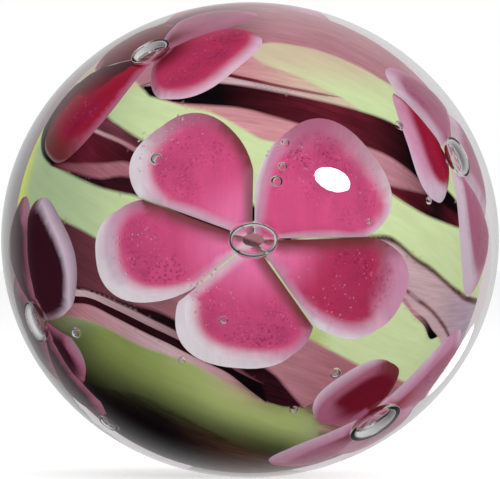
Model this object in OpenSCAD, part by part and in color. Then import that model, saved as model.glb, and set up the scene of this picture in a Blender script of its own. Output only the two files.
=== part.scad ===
// A round flower marble of layered glass, in millimetres.
// A green core has purple, mauve and black bands let into its skin. Flowers of pink petals over
// white glass lie on the core, and clear glass with trapped bubbles closes over everything.
// The origin is the middle of the marble, +Z is up and the main flower faces -Y.

/* [Marble] */
// width of the finished marble
marble_w = 38; // [36:0.5:44]
// height of the finished marble, a little less than its width
marble_h = 36.3; // [34:0.1:44]
// radius of the colored core
core_r = 11.8; // [11.4:0.1:12.6]

/* [Bands] */
// how deep the bands go into the core
band_depth = 0.8; // [0.4:0.1:2]
// points between two chosen points of a band's edge
band_steps = 2; // [1:1:6]

/* [Petals] */
// height of the petals over the core
petal_height = 0.4; // [0.3:0.05:0.8]
// height of the white glass under the pink
white_height = 0.2; // [0.1:0.05:0.25]
// gap between neighboring petals
petal_gap = 0.15; // [0.05:0.05:0.4]
// points along each side of a petal's round end
petal_steps = 4; // [3:1:10]

/* [Bubbles] */
// width of the bubble in the middle of each flower
bubble_w = 3.4; // [2:0.1:4]
// height of that bubble
bubble_h = 2; // [1:0.1:2.4]
// clear glass between the core and that bubble
bubble_floor = 0.05; // [0.05:0.05:0.5]
// gap between that bubble and the ends of the petals
bubble_gap = 0.1; // [0.05:0.05:0.3]
// clear glass between the petals and the small bubbles
small_floor = 0.15; // [0.1:0.05:0.4]

/* [Colors] */
// green of the core
green = [0.72, 0.76, 0.55];
// clear glass
clear = [0.93, 0.95, 0.95, 0.25];
// pink of the petals
pink = [0.76, 0.24, 0.45];
// white under the petals
white = [0.85, 0.82, 0.83];
// mauve bands
mauve = [0.66, 0.47, 0.51];
// pale lines
pale = [0.76, 0.68, 0.69];
// purple bands
purple = [0.28, 0.07, 0.12];
// black bands
black = [0.07, 0.04, 0.05];

/* [Hidden] */
$fn = 240;
eps = 0.01;
press = marble_h / marble_w;
petal_r = core_r + petal_height;
white_r = core_r + white_height;
// cutters for petals start this far from the middle and end outside the casing
petal_cut_start = 4.5;
casing_r = marble_w / 2;
inner_r = core_r - band_depth;
bubble_r = core_r + bubble_floor + bubble_h / 2;
// angle from the front beyond which a band's outline runs straight on to the rim
rim_start = 70;
// edges that leave the picture run on to this angle from the front
far = 165;
// squareness of a petal's round end: 1 is an ellipse, less is squarer
petal_round = 0.83;
// turns that keep the seam line of a sphere out of what is cut into it
casing_turn = [0, 0, 215];
purple_turn = [90, 0, 0];
low_turn = [0, -45, 0];
flower_turn = [0, 90, 0];

// Places on the core, each [degrees to the right, degrees up] from the middle of the front
// Top group, from the crown down
crown_far = [[-105, 127], [-64, 84]];
crown_left = [[-64, 84], [-42, 80], [-20, 77], [-3, 75]];
lens_top = [[-3, 75], [4, 79], [13, 80], [29, 77], [45, 71], [62, 63], [90, 54], [156, 56]];
lens_low = [[-3, 75], [4, 68], [11, 64], [19, 60.5], [26, 56.5], [33, 53]];
group_left = [[-64, 84], [-42, 60]];
line_top = [[-42, 60], [-28, 63], [-13, 63], [-3, 60.3], [11, 56.4], [25, 54], [33, 53]];
line_low = [[-42, 60], [-28, 61.8], [-13, 61.6], [-3, 58.8], [11, 55.2], [25, 53], [33, 53]];
strip_end = [[33, 53], [37, 50.5], [40, 48]];
purple_top = [[-42, 60], [-25, 58], [-14, 58], [-3, 56], [11, 53], [25, 50.5], [40, 48]];
purple_right = [[40, 48], [54, 47], [64, 45], [80, 40], [100, 36], [160, 44]];
purple_left = [[-42, 60], [-37, 54], [-30, 51]];
purple_low = [[-30, 51], [-24, 49], [-14, 47.5], [-3, 46], [7, 43], [20, 39], [31, 35.5],
    [46, 31.5], [54, 28], [61, 23.5], [68, 17]];
purple_end = [[68, 17], [80, 12], [95, 10], [165, 9]];
mauve_low = [[-30, 51], [-22, 47.5], [-14, 45], [-7, 41], [-1, 37], [4, 34], [11, 32.5],
    [22, 30], [33, 26]];
mauve_end = [[33, 26], [44, 21], [51, 19], [59, 18], [68, 17]];
dark_low = [[33, 26], [46, 18], [53, 14], [62, 10], [73, 7], [84, 5], [95, 5], [165, 2]];

// Middle group, between the upper and the lower green
wedge_top = [[-105, 56], [-100, 68], [-86, 77], [-70, 66], [-54, 48], [-48, 43], [-38, 36],
    [-30, 32], [-15, 22.5], [0, 12.5]];
wedge_top_right = [[0, 12.5], [8, 5], [16, 0], [29, 1], [40, 1.5], [47, 1.5], [52, -1],
    [59, -6], [67, -10], [77, -16], [87, -21], [102, -26], [161, -38]];
split_left = [[-105, 56], [-92, 60]];
thread_top = [[-92, 60], [-75, 52.5], [-58, 42.6], [-46, 36.6], [-38, 31.7], [-24, 22]];
thread_low = [[-92, 60], [-75, 51], [-58, 41.3], [-46, 35.3], [-38, 30.3], [-24, 22]];
split_right = [[-24, 22], [-12, 16], [0, 12.5]];
wedge_tip = [[-105, 56], [-99, 46], [-91, 37], [-82, 31]];
wedge_mauve_top = [[-82, 31], [-76, 31], [-64, 29.3], [-52, 28], [-41, 27], [-20, 17], [-4, 8],
    [8, 1.5], [16, -2], [29, -1], [40, -0.5], [46, -0.3], [52, -2.8], [59, -7.8], [67, -12],
    [77, -18], [87, -23.5], [102, -29], [160, -42]];
wedge_mauve_low = [[-82, 31], [-76, 29], [-66, 26], [-53, 22.3], [-41, 22], [-20, 12], [0, 0],
    [25, -11], [42, -13.5], [50, -15.5], [56, -18], [62, -22], [70, -27], [80, -35], [90, -44],
    [104, -52], [150, -68]];
wedge_dark_low = [[42, -16], [50, -17.3], [56, -19.5], [62, -23.5], [70, -28.7], [80, -37],
    [90, -46], [104, -54.5], [149, -71]];
wedge_line_top = [[42, -16], [54, -20.5], [60, -26.3], [67, -31], [72, -36], [77, -40]];
wedge_line_low = [[42, -16], [53, -21.5], [60, -28], [67, -33.6], [72, -40], [77, -40]];
wedge_low_left = [[-82, 31], [-72, 27], [-63, 23], [-53, 19], [-44, 16.5], [-35, 14], [-18, 6],
    [0, -4], [22, -12], [42, -16]];
wedge_low_right = [[77, -40], [84, -47], [100, -58], [144, -80]];

// Lower group, below the lower green
low_top = [[-164, 20], [-120, 14], [-98, 12], [-87, 13], [-78, 11], [-69, 7], [-61, 4],
    [-50, -1], [-35, -8], [-19, -14.5], [0, -24], [20, -34], [28, -39], [40, -46.5]];
low_top_right = [[40, -46.5], [48, -50], [60, -57], [75, -66], [100, -84], [125, -107]];
low_mauve_low = [[-164, -14], [-100, -16], [-65, -17.5], [-53, -19], [-45, -21], [-37, -23],
    [-30, -24.5], [-21, -29], [-12, -35], [-2, -41], [4, -43.5], [9, -48], [14, -55], [20, -64]];
pale_top = [[-164, -18], [-100, -18], [-68, -18.7], [-58, -18.9], [-49, -21.4], [-41, -24.3],
    [-34, -27.2], [-27, -30.2], [-21, -33.6], [-9, -41.3], [-3, -45.5], [4, -51]];
pale_low = [[-164, -22], [-100, -21], [-68, -21.3], [-58, -21.3], [-49, -24], [-41, -27],
    [-34, -30], [-27, -33], [-21, -36], [-9, -42.8], [-3, -46.8], [4, -51]];
black_low_left = [[-163, -27], [-120, -28], [-90, -27]];
black_low = [[-90, -27], [-68, -24.3], [-58, -24], [-49, -27], [-41, -30.3], [-34, -33.3],
    [-27, -36.3], [-20, -40], [-13, -43.5], [-7, -47], [0, -54], [6, -60]];
black_end = [[4, -51], [5, -55], [6, -60]];
olive_top = [[-90, -27], [-82, -29], [-74, -29.5], [-59, -30.5], [-50, -33], [-38, -38],
    [-29, -40.5], [-20, -43.5], [-12, -48], [-3, -54.5], [6, -60]];
olive_right = [[6, -60], [12, -62.5], [20, -64]];
corner_top = [[20, -64], [28, -58], [34, -51], [40, -46.5]];
olive_end = [[20, -64], [25, -71], [28, -80], [28, -87]];
corner_low = [[28, -87], [40, -103], [70, -149]];
olive_low = [[-90, -27], [-84, -34], [-80, -42], [-80, -54], [-73, -62], [-57, -61], [-42, -61],
    [-32, -65], [-19, -74], [-9, -82], [0, -90], [8, -97], [17, -101], [24, -97], [28, -87]];

// Flowers: name, longitude and latitude of the middle, and how far the pink is shifted over the
// white to the right and up
FLOWERS = [
    ["front", -89, 0, [0.55, 0.4]],
    ["upper_left", -168, 62, [0.1, 0.1]],
    ["right", -1, 22, [0.4, 0.4]],
    ["lower_right", -2, -56, [0.5, 0.1]],
    ["left", 175, -21, [-0.5, -0.1]],
    ["back", 91, 0, [-0.3, 0.3]]
];
// Petals of each flower: turn, reach, half width to the left and to the right, and how far out
// they are widest, as a share of the reach
PETALS = [
    [[38, 8.9, 4.2, 4.3, 0.66], [133, 9.2, 3.1, 3.6, 0.64], [185, 9.4, 3.3, 3.1, 0.67],
        [265, 8.1, 4.1, 4.2, 0.6], [336, 9.8, 3, 3.3, 0.7]],
    [[36, 5.8, 4.3, 3.9, 0.5], [127, 7.2, 2.1, 2.1, 0.6], [179, 6.9, 2.1, 2.3, 0.62],
        [255, 7.6, 2.9, 4.6, 0.6]],
    [[55, 5.7, 3.4, 3.2, 0.55], [158, 4.3, 2.9, 3.9, 0.5], [300, 7.2, 3, 2.8, 0.6],
        [350, 6.5, 2.8, 2.6, 0.6]],
    [[48, 7, 2.8, 2.3, 0.62], [179, 5.5, 2.7, 2.9, 0.5], [308, 6.4, 2.4, 2.4, 0.6],
        [358, 6.8, 2.2, 2.2, 0.6]],
    [[47, 6.6, 3.9, 3.4, 0.55], [120, 6.5, 2.6, 2.6, 0.6], [180, 6.5, 2.7, 2.7, 0.6],
        [236, 6, 2.3, 2.3, 0.6], [285, 3.9, 1.9, 2, 0.55]],
    [[18, 8.8, 3.6, 3.6, 0.64], [90, 8.8, 3.6, 3.6, 0.64], [162, 8.8, 3.6, 3.6, 0.64],
        [234, 8.8, 3.6, 3.6, 0.64], [306, 8.8, 3.6, 3.6, 0.64]]
];
// Small bubbles: place on the front as above, and radius
SMALL_BUBBLES = [
    [-29, 26, 0.45], [8, 18, 0.45], [10, 23, 0.35], [11, 31, 0.3], [37, 6, 0.25],
    [-8, -25, 0.35], [-62, -34, 0.4], [28, -45, 0.4], [15, -60, 0.3], [52, 41, 0.35],
    [62, 14, 0.25], [-22, -40, 0.25], [-58, -76, 0.7]
];

BAND_NODES = ["crown_band", "rose_band", "top_line", "pale_strip", "purple_band", "mauve_band",
    "dark_band", "wedge_dark", "wedge_thread", "wedge_maroon", "wedge_mauve", "wedge_low_dark",
    "wedge_pale", "wedge_line", "low_mauve", "low_black", "low_pale_line", "low_black_line",
    "low_rose", "corner_dark", "base_dark"];

function petal_name(f, i) = str("petal_", FLOWERS[f][0], "_", i + 1);

// Curves through chosen points
function bend(a, b, c, d, t) = 0.5 * (2 * b + (c - a) * t + (2 * a - 5 * b + 4 * c - d) * t * t
    + (3 * b - a - 3 * c + d) * t * t * t);
function smooth(p) = [
    for (i = [0:len(p) - 2]) for (s = [0:band_steps - 1])
        bend(p[max(i - 1, 0)], p[i], p[i + 1], p[min(i + 2, len(p) - 1)], s / band_steps),
    p[len(p) - 1]
];
function back_to_front(p) = [for (i = [len(p) - 1:-1:0]) p[i]];
function joined(parts) = [for (p = parts) for (q = p) q];
// the same outline without a point that repeats the one before it
function clean(p) = [
    for (i = [0:len(p) - 1])
        if (norm(p[i] - p[(i + 1) % len(p)]) > eps) p[i]
];
function turned_round(from, to, steps) = [
    for (i = [0:steps])
        let (a = from + (to - from) * i / steps)
        far * [cos(a), sin(a)]
];

// A place given in degrees, seen straight from the front. Past rim_start it runs on outwards, so
// that every band crosses the rim and meets itself behind.
function from_front(p) =
    let (t = norm(p), a = min(t, rim_start))
    t == 0 ? [0, 0] : core_r * (sin(a) + cos(a) * (t - a) * PI / 180) * p / t;

module pressed() {
    scale([1, 1, press])
        children();
}

// A solid that cuts an outline out of the skin of the core, from front to back
module skin_cutter(outline) {
    rotate([90, 0, 0])
        linear_extrude(3 * core_r, center = true)
            polygon([for (p = clean(outline)) from_front(p)]);
}

module skin_part(outline, turn = [0, 0, 0]) {
    intersection() {
        rotate(turn)
            difference() {
                sphere(r = core_r);
                sphere(r = inner_r);
            }
        skin_cutter(outline);
    }
}

module band(outline, turn = [0, 0, 0]) {
    pressed()
        skin_part(outline, turn);
}

// Outlines of the bands: one edge forwards, the other back
crown_outline = joined([crown_far, smooth(crown_left), smooth(lens_top),
    turned_round(19, 129, 8)]);
rose_outline = joined([smooth(crown_left), smooth(lens_low), back_to_front(smooth(line_top))]);
top_line_outline = joined([smooth(line_top), back_to_front(smooth(line_low))]);
pale_strip_outline = joined([smooth(line_low), strip_end, back_to_front(smooth(purple_top))]);
purple_outline = joined([smooth(purple_top), smooth(purple_right),
    back_to_front(smooth(purple_end)), back_to_front(smooth(purple_low)),
    back_to_front(purple_left)]);
mauve_outline = joined([smooth(purple_low), back_to_front(smooth(mauve_end)),
    back_to_front(smooth(mauve_low))]);
dark_outline = joined([smooth(mauve_end), smooth(purple_end), back_to_front(smooth(dark_low))]);
wedge_dark_outline = joined([smooth(wedge_top), back_to_front(split_right),
    back_to_front(smooth(thread_top)), back_to_front(split_left)]);
wedge_thread_outline = joined([smooth(thread_top), back_to_front(smooth(thread_low))]);
wedge_maroon_outline = joined([split_left, smooth(thread_low), split_right,
    smooth(wedge_top_right), back_to_front(smooth(wedge_mauve_top)),
    back_to_front(smooth(wedge_tip))]);
wedge_mauve_outline = joined([smooth(wedge_mauve_top), back_to_front(smooth(wedge_mauve_low))]);
wedge_low_dark_outline = joined([smooth(wedge_mauve_low), back_to_front(smooth(wedge_dark_low)),
    back_to_front(smooth(wedge_low_left))]);
wedge_pale_outline = joined([smooth(wedge_dark_low), back_to_front(smooth(wedge_low_right)),
    back_to_front(smooth(wedge_line_top))]);
wedge_line_outline = joined([smooth(wedge_line_top), back_to_front(smooth(wedge_line_low))]);
low_mauve_outline = joined([smooth(low_top), back_to_front(smooth(corner_top)),
    back_to_front(smooth(low_mauve_low))]);
low_black_outline = joined([smooth(low_mauve_low), back_to_front(olive_right),
    back_to_front(black_end), back_to_front(smooth(pale_top))]);
low_pale_outline = joined([smooth(pale_top), back_to_front(smooth(pale_low))]);
low_black_line_outline = joined([smooth(pale_low), black_end, back_to_front(smooth(black_low)),
    back_to_front(smooth(black_low_left))]);
low_rose_outline = joined([smooth(black_low), back_to_front(smooth(olive_top))]);
corner_outline = joined([smooth(corner_top), smooth(low_top_right),
    back_to_front(smooth(corner_low)), back_to_front(smooth(olive_end))]);
base_outline = joined([smooth(black_low_left), smooth(olive_low), smooth(corner_low),
    turned_round(-65, -171, 8)]);

module crown_band() {
    color(mauve) band(crown_outline);
}

module rose_band() {
    color(mauve) band(rose_outline);
}

module top_line() {
    color(purple) band(top_line_outline);
}

module pale_strip() {
    color(pale) band(pale_strip_outline);
}

module purple_band() {
    color(purple) band(purple_outline, purple_turn);
}

module mauve_band() {
    color(mauve) band(mauve_outline);
}

module dark_band() {
    color(black) band(dark_outline);
}

module wedge_dark() {
    color(black) band(wedge_dark_outline);
}

module wedge_thread() {
    color(pale) band(wedge_thread_outline);
}

module wedge_maroon() {
    color(purple) band(wedge_maroon_outline);
}

module wedge_mauve() {
    color(mauve) band(wedge_mauve_outline);
}

module wedge_low_dark() {
    color(black) band(wedge_low_dark_outline);
}

module wedge_pale() {
    color(pale) band(wedge_pale_outline);
}

module wedge_line() {
    color(black) band(wedge_line_outline);
}

module low_mauve() {
    color(mauve) band(low_mauve_outline, low_turn);
}

module low_black() {
    color(black) band(low_black_outline);
}

module low_pale_line() {
    color(pale) band(low_pale_outline);
}

module low_black_line() {
    color(black) band(low_black_line_outline);
}

module low_rose() {
    color(mauve) band(low_rose_outline);
}

module corner_dark() {
    color(black) band(corner_outline);
}

module base_dark() {
    color(black) band(base_outline);
}

// The core, with one place for each group of bands that touch
upper_group = joined([smooth(crown_left), smooth(lens_low), strip_end, smooth(purple_right),
    back_to_front(smooth(dark_low)), back_to_front(smooth(mauve_low)),
    back_to_front(purple_left), back_to_front(group_left)]);
middle_group = joined([smooth(wedge_top), smooth(wedge_top_right),
    back_to_front(smooth(wedge_low_right)), back_to_front(smooth(wedge_line_low)),
    back_to_front(smooth(wedge_low_left)), back_to_front(smooth(wedge_tip))]);
lower_group = joined([smooth(low_top), smooth(low_top_right), back_to_front(smooth(corner_low)),
    back_to_front(smooth(olive_end)), back_to_front(olive_right),
    back_to_front(smooth(olive_top)), back_to_front(smooth(black_low_left))]);

module green_core() {
    color(green)
        pressed()
            difference() {
                sphere(r = core_r);
                skin_part(crown_outline);
                skin_part(upper_group);
                skin_part(middle_group);
                skin_part(lower_group);
                skin_part(base_outline);
            }
}

// Petals. Each flower's own frame has +Z outwards from the marble and +Y up the marble
module on_flower(f) {
    rotate([0, 0, FLOWERS[f][1]])
        rotate([0, -FLOWERS[f][2], 0])
            rotate([90, 0, 90])
                children();
}

function petal_side(reach, half, peak) = concat(
    [for (i = [1:petal_steps]) let (t = i / petal_steps) [reach * peak * t, half * sin(90 * t)]],
    [for (i = [1:petal_steps - 1])
        let (a = 90 * i / petal_steps)
        [reach * (peak + (1 - peak) * pow(sin(a), petal_round)), half * pow(cos(a), petal_round)]]
);

module petal_outline(p) {
    left = petal_side(p[1], p[2], p[4]);
    right = [for (q = petal_side(p[1], p[3], p[4])) [q[0], -q[1]]];
    rotate(p[0])
        polygon(concat([[0, 0]], left, [[p[1], 0]], back_to_front(right)));
}

// The line between a petal and the next one turns towards the narrower of the two
function line_between(p, q, turn) = p[0] + (q[0] + turn - p[0]) * p[2] / (p[2] + q[3]);

// The room that a petal has between its neighbors and the middle bubble
module petal_room(f, i) {
    all = PETALS[f];
    n = len(all);
    from = line_between(all[(i + n - 1) % n], all[i], i == 0 ? 360 : 0) - (i == 0 ? 360 : 0);
    to = line_between(all[i], all[(i + 1) % n], i == n - 1 ? 360 : 0);
    middle = (from + to) / 2;
    start = petal_gap / 2 / sin((to - from) / 2);
    difference() {
        polygon(concat([start * [cos(middle), sin(middle)]],
            [for (s = [0:4]) let (a = from + (to - from) * s / 4) casing_r * [cos(a), sin(a)]]));
        circle(r = bubble_w / 2 + bubble_gap);
    }
}

module pink_outline(f, i) {
    intersection() {
        translate(FLOWERS[f][3] / 2)
            petal_outline(PETALS[f][i]);
        petal_room(f, i);
    }
}

module white_outline(f, i) {
    intersection() {
        translate(-FLOWERS[f][3] / 2)
            petal_outline(PETALS[f][i]);
        petal_room(f, i);
    }
}

// A ball whose seam line runs clear of the flower
module flower_ball(f, r, turn = flower_turn) {
    on_flower(f)
        rotate(turn)
            sphere(r = r);
}

// A block of glass between the middle of the core and a ball of radius top
module block(f, top, turn = flower_turn) {
    intersection() {
        on_flower(f)
            translate([0, 0, petal_cut_start])
                linear_extrude(casing_r)
                    children();
        flower_ball(f, top, turn);
    }
}

// The turn of a ball whose poles lie to the left and right of one petal
function petal_turn(f, i) = [90, 0, PETALS[f][i][0]];

module white_petals(f) {
    color(white)
        pressed()
            for (i = [0:len(PETALS[f]) - 1])
                difference() {
                    block(f, petal_r, petal_turn(f, i))
                        white_outline(f, i);
                    flower_ball(f, core_r, petal_turn(f, i));
                    difference() {
                        block(f, petal_r + eps, petal_turn(f, i))
                            pink_outline(f, i);
                        flower_ball(f, white_r, petal_turn(f, i));
                    }
                }
}

module pink_petal(f, i) {
    color(pink)
        pressed()
            difference() {
                block(f, petal_r, petal_turn(f, i))
                    pink_outline(f, i);
                flower_ball(f, core_r, petal_turn(f, i));
                block(f, white_r, petal_turn(f, i))
                    white_outline(f, i);
            }
}

// Bubbles
function direction(p) = norm(p) == 0 ? [0, -1, 0]
    : [sin(norm(p)) * p[0] / norm(p), -cos(norm(p)), sin(norm(p)) * p[1] / norm(p)];

module bubbles() {
    for (f = [0:len(FLOWERS) - 1])
        on_flower(f)
            translate([0, 0, bubble_r])
                scale([1, 1, bubble_h / bubble_w])
                    sphere(d = bubble_w);
    for (b = SMALL_BUBBLES)
        translate(direction([b[0], b[1]]) * (petal_r + small_floor + b[2]))
            sphere(r = b[2]);
}

// The room that a whole flower takes in the clear glass
module flower_room(f) {
    difference() {
        block(f, petal_r)
            for (i = [0:len(PETALS[f]) - 1])
                union() {
                    white_outline(f, i);
                    pink_outline(f, i);
                }
        flower_ball(f, inner_r);
    }
}

// Clear glass round everything
module clear_casing() {
    color(clear)
        pressed()
            difference() {
                sphere(r = casing_r);
                rotate(casing_turn)
                    sphere(r = core_r);
                flower_room(0);
                flower_room(1);
                flower_room(2);
                flower_room(3);
                flower_room(4);
                flower_room(5);
                bubbles();
            }
}

clear_casing();
green_core();
crown_band();
rose_band();
top_line();
pale_strip();
purple_band();
mauve_band();
dark_band();
wedge_dark();
wedge_thread();
wedge_maroon();
wedge_mauve();
wedge_low_dark();
wedge_pale();
wedge_line();
low_mauve();
low_black();
low_pale_line();
low_black_line();
low_rose();
corner_dark();
base_dark();
for (f = [0:len(FLOWERS) - 1])
    white_petals(f);
for (f = [0:len(FLOWERS) - 1])
    for (i = [0:len(PETALS[f]) - 1])
        pink_petal(f, i);
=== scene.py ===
import math
import random

import bmesh
import bpy
import numpy as np
from mathutils import Matrix, Vector
from mathutils.geometry import delaunay_2d_cdt


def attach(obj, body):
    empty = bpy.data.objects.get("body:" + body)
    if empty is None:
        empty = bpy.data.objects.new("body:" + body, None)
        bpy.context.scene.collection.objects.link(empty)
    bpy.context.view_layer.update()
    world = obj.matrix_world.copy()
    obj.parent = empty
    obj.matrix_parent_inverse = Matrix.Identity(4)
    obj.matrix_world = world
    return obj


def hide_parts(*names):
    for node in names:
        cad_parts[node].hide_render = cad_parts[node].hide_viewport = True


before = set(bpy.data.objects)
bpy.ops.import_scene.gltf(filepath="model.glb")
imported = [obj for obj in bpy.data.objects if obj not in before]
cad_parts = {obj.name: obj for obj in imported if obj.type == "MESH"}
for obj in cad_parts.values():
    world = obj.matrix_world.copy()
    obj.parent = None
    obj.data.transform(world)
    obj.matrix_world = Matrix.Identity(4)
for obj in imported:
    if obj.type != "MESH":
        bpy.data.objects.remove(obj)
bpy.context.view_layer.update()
scene = bpy.context.scene

# Lengths in millimetres
MM = 0.001
CASING_R, CORE_R = 19.0, 11.8
PRESS = 36.3 / 38  # the marble's height over its width
BAND_DEPTH, FLOOR_DEPTH = 0.45, 0.5  # the bands end just above the core's floor
PETAL_H, WHITE_H, PETAL_GAP = 0.4, 0.36, 0.15
PETAL_SINK = 0.03  # how far the white glass reaches into the core
PETAL_SHOULDER = 0.8  # a petal has its full height this far in from its edge
SKIN_H = 0.025  # its height under the bubble in the middle
BUBBLE_W, BUBBLE_H = 3.4, 2.0
FRONT_TALL = 0.78  # the bubble of the front flower is wider than it is tall
FRONT_HOLE, SIDE_HOLE = 1.0, 0.3  # radius of the bare glass in the middle of a flower

# The net of triangles under a flower
FLOWER_REACH, ROOM_REACH = 10.6, 13
FLOWER_STEP, FLOWER_SPACING, FLOWER_ROW, FLOWER_CELL = 0.25, 0.24, 0.208, 0.17

# Degrees round the core from the middle of the front
FAR = 165  # the bands end here
NET_END = 168  # the net of the skin ends here, and one point closes it
COARSE_FROM = 130  # behind this the net is coarser
NET_SPACING, NET_BESIDE = 2.1, 0.7


# ---- colour and vector helpers
def linear(rgb):
    c = np.asarray(rgb, float) / 255
    return np.where(c <= 0.04045, c / 12.92, ((c + 0.055) / 1.055) ** 2.4)


def step(a, b, x):
    t = np.clip((x - a) / (b - a), 0, 1)
    return t * t * (3 - 2 * t)


def mix(a, b, t):
    t = np.asarray(t)[..., None]
    return a * (1 - t) + b * t


# ---- places on the core, [degrees right, degrees up] from the middle of the front
def smooth(points, steps=4):
    p = np.array(points, float)
    out = []
    for i in range(len(p) - 1):
        a, b, c, d = p[max(i - 1, 0)], p[i], p[i + 1], p[min(i + 2, len(p) - 1)]
        n = steps if np.linalg.norm(c - b) < 40 else 3 * steps
        for s in range(n):
            t = s / n
            out.append(0.5 * (2 * b + (c - a) * t + (2 * a - 5 * b + 4 * c - d) * t * t
                              + (3 * b - a - 3 * c + d) * t ** 3))
    out.append(p[-1])
    return [tuple(q) for q in out]


def round_far(start, end):
    n = max(2, int(abs(end - start) / 5))
    return [(FAR * math.cos(math.radians(start + (end - start) * i / n)),
             FAR * math.sin(math.radians(start + (end - start) * i / n))) for i in range(n + 1)]


def joined(*parts):
    out = []
    for part in parts:
        for q in part:
            if not out or math.dist(q, out[-1]) > 1e-6:
                out.append(tuple(q))
    if math.dist(out[0], out[-1]) < 1e-6:
        out.pop()
    return out


def back(p):
    return list(p)[::-1]


crown_far = smooth([(-105, 127), (-64, 84)])
crown_left = smooth([(-64, 84), (-42, 80), (-20, 77), (-3, 75)])
lens_top = smooth([(-3, 75), (4, 79), (13, 80), (29, 77), (45, 71), (62, 63), (90, 54), (156, 56)])
lens_low = smooth([(-3, 75), (4, 68), (11, 64), (19, 60.5), (26, 56.5), (33, 53)])
line_top = smooth([(-42, 60), (-28, 63), (-13, 63), (-3, 60.3), (11, 56.4), (25, 54), (33, 53)])
line_low = smooth([(-42, 60), (-28, 61.8), (-13, 61.6), (-3, 58.8), (11, 55.2), (25, 53), (33, 53)])
group_left = [(-64, 84), (-42, 60)]
strip_end = [(33, 53), (37, 50.5), (40, 48)]
purple_top = smooth([(-42, 60), (-25, 58), (-14, 58), (-3, 56), (11, 53), (25, 50.5), (40, 48)])
purple_right = smooth([(40, 48), (53, 45), (61, 40), (66, 33), (71, 26), (80, 19), (95, 15), (164, 20)])
purple_left = [(-42, 60), (-37, 54), (-30, 51)]
purple_low = smooth([(-30, 51), (-24, 49), (-14, 47.5), (-3, 46), (7, 43), (20, 39), (31, 35.5),
                     (46, 31.5), (54, 28), (61, 23.5), (68, 17)])
purple_end = smooth([(68, 17), (80, 12), (95, 10), (165, 9)])
mauve_low = smooth([(-30, 51), (-22, 47.5), (-14, 45), (-7, 41), (-1, 37), (4, 34), (11, 32.5),
                    (22, 30), (33, 26)])
mauve_end = smooth([(33, 26), (44, 21), (51, 19), (59, 18), (68, 17)])
dark_low = smooth([(33, 26), (46, 18), (53, 14), (62, 10), (73, 7), (84, 5), (95, 5), (165, 2)])

wedge_top = smooth([(-105, 56), (-100, 68), (-86, 77), (-70, 66), (-54, 48), (-48, 43), (-38, 36),
                    (-30, 32), (-15, 22.5), (0, 12.5)])
wedge_top_right = smooth([(0, 12.5), (8, 5), (16, 0), (29, 1), (40, 1.5), (47, 1.5), (52, -1),
                          (59, -6), (67, -10), (77, -16), (87, -21), (102, -26), (161, -38)])
split_left = [(-105, 56), (-92, 60)]
thread_top = smooth([(-92, 60), (-75, 52.5), (-58, 42.6), (-46, 36.6), (-38, 31.7), (-24, 22)])
thread_low = smooth([(-92, 60), (-75, 51), (-58, 41.3), (-46, 35.3), (-38, 30.3), (-24, 22)])
split_right = [(-24, 22), (-12, 16), (0, 12.5)]
wedge_tip = smooth([(-105, 56), (-99, 46), (-91, 37), (-82, 31)])
wedge_mauve_top = smooth([(-82, 31), (-76, 31), (-64, 29.3), (-52, 28), (-41, 27), (-20, 17), (-4, 8),
                          (8, 1.5), (16, -2), (29, -1), (40, -0.5), (46, -0.3), (52, -2.8), (59, -7.8),
                          (67, -12), (77, -18), (87, -23.5), (102, -29), (160, -42)])
wedge_mauve_low = smooth([(-82, 31), (-76, 29), (-66, 26), (-53, 22.3), (-41, 22), (-20, 12), (0, 0),
                          (25, -11), (42, -13.5), (50, -15.5), (56, -18), (62, -22), (70, -27),
                          (80, -35), (90, -44), (104, -52), (150, -68)])
wedge_dark_low = smooth([(42, -16), (50, -17.3), (56, -19.5), (62, -23.5), (70, -28.7), (80, -37),
                         (90, -46), (104, -54.5), (149, -71)])
wedge_line_top = smooth([(42, -16), (54, -20.5), (60, -26.3), (67, -31), (72, -36), (77, -40)])
wedge_line_low = smooth([(42, -16), (53, -21.5), (60, -28), (67, -33.6), (72, -40), (77, -40)])
wedge_low_left = smooth([(-82, 31), (-72, 27), (-63, 23), (-53, 19), (-44, 16.5), (-35, 14), (-18, 6),
                         (0, -4), (22, -12), (42, -16)])
wedge_low_right = smooth([(77, -40), (84, -47), (100, -58), (144, -80)])

low_top = smooth([(-164, 20), (-120, 14), (-98, 12), (-87, 13), (-78, 11), (-69, 7), (-61, 4),
                  (-50, -1), (-35, -8), (-19, -14.5), (0, -24), (20, -34), (28, -39), (40, -46.5)])
low_top_right = smooth([(40, -46.5), (48, -50), (60, -57), (75, -66), (100, -84), (125, -107)])
low_mauve_low = smooth([(-164, -14), (-100, -16), (-65, -17.5), (-53, -19), (-45, -21), (-37, -23),
                        (-30, -24.5), (-21, -29), (-12, -35), (-2, -41), (4, -43.5), (9, -48),
                        (14, -55), (20, -64)])
pale_top = smooth([(-164, -18), (-100, -18), (-68, -18.7), (-58, -18.9), (-49, -21.4), (-41, -24.3),
                   (-34, -27.2), (-27, -30.2), (-21, -33.6), (-9, -41.3), (-3, -45.5), (4, -51)])
pale_low = smooth([(-164, -22), (-100, -21), (-68, -21.3), (-58, -21.3), (-49, -24), (-41, -27),
                   (-34, -30), (-27, -33), (-21, -36), (-9, -42.8), (-3, -46.8), (4, -51)])
black_low_left = smooth([(-163, -27), (-120, -28), (-90, -27)])
black_low = smooth([(-90, -27), (-68, -24.3), (-58, -24), (-49, -27), (-41, -30.3), (-34, -33.3),
                    (-27, -36.3), (-20, -40), (-13, -43.5), (-7, -47), (0, -54), (6, -60)])
black_end = [(4, -51), (5, -55), (6, -60)]
olive_top = smooth([(-90, -27), (-82, -29), (-74, -29.5), (-59, -30.5), (-50, -33), (-38, -38),
                    (-29, -40.5), (-20, -43.5), (-12, -48), (-3, -54.5), (6, -60)])
olive_right = [(6, -60), (12, -62.5), (20, -64)]
corner_top = smooth([(20, -64), (28, -58), (34, -51), (40, -46.5)])
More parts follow.
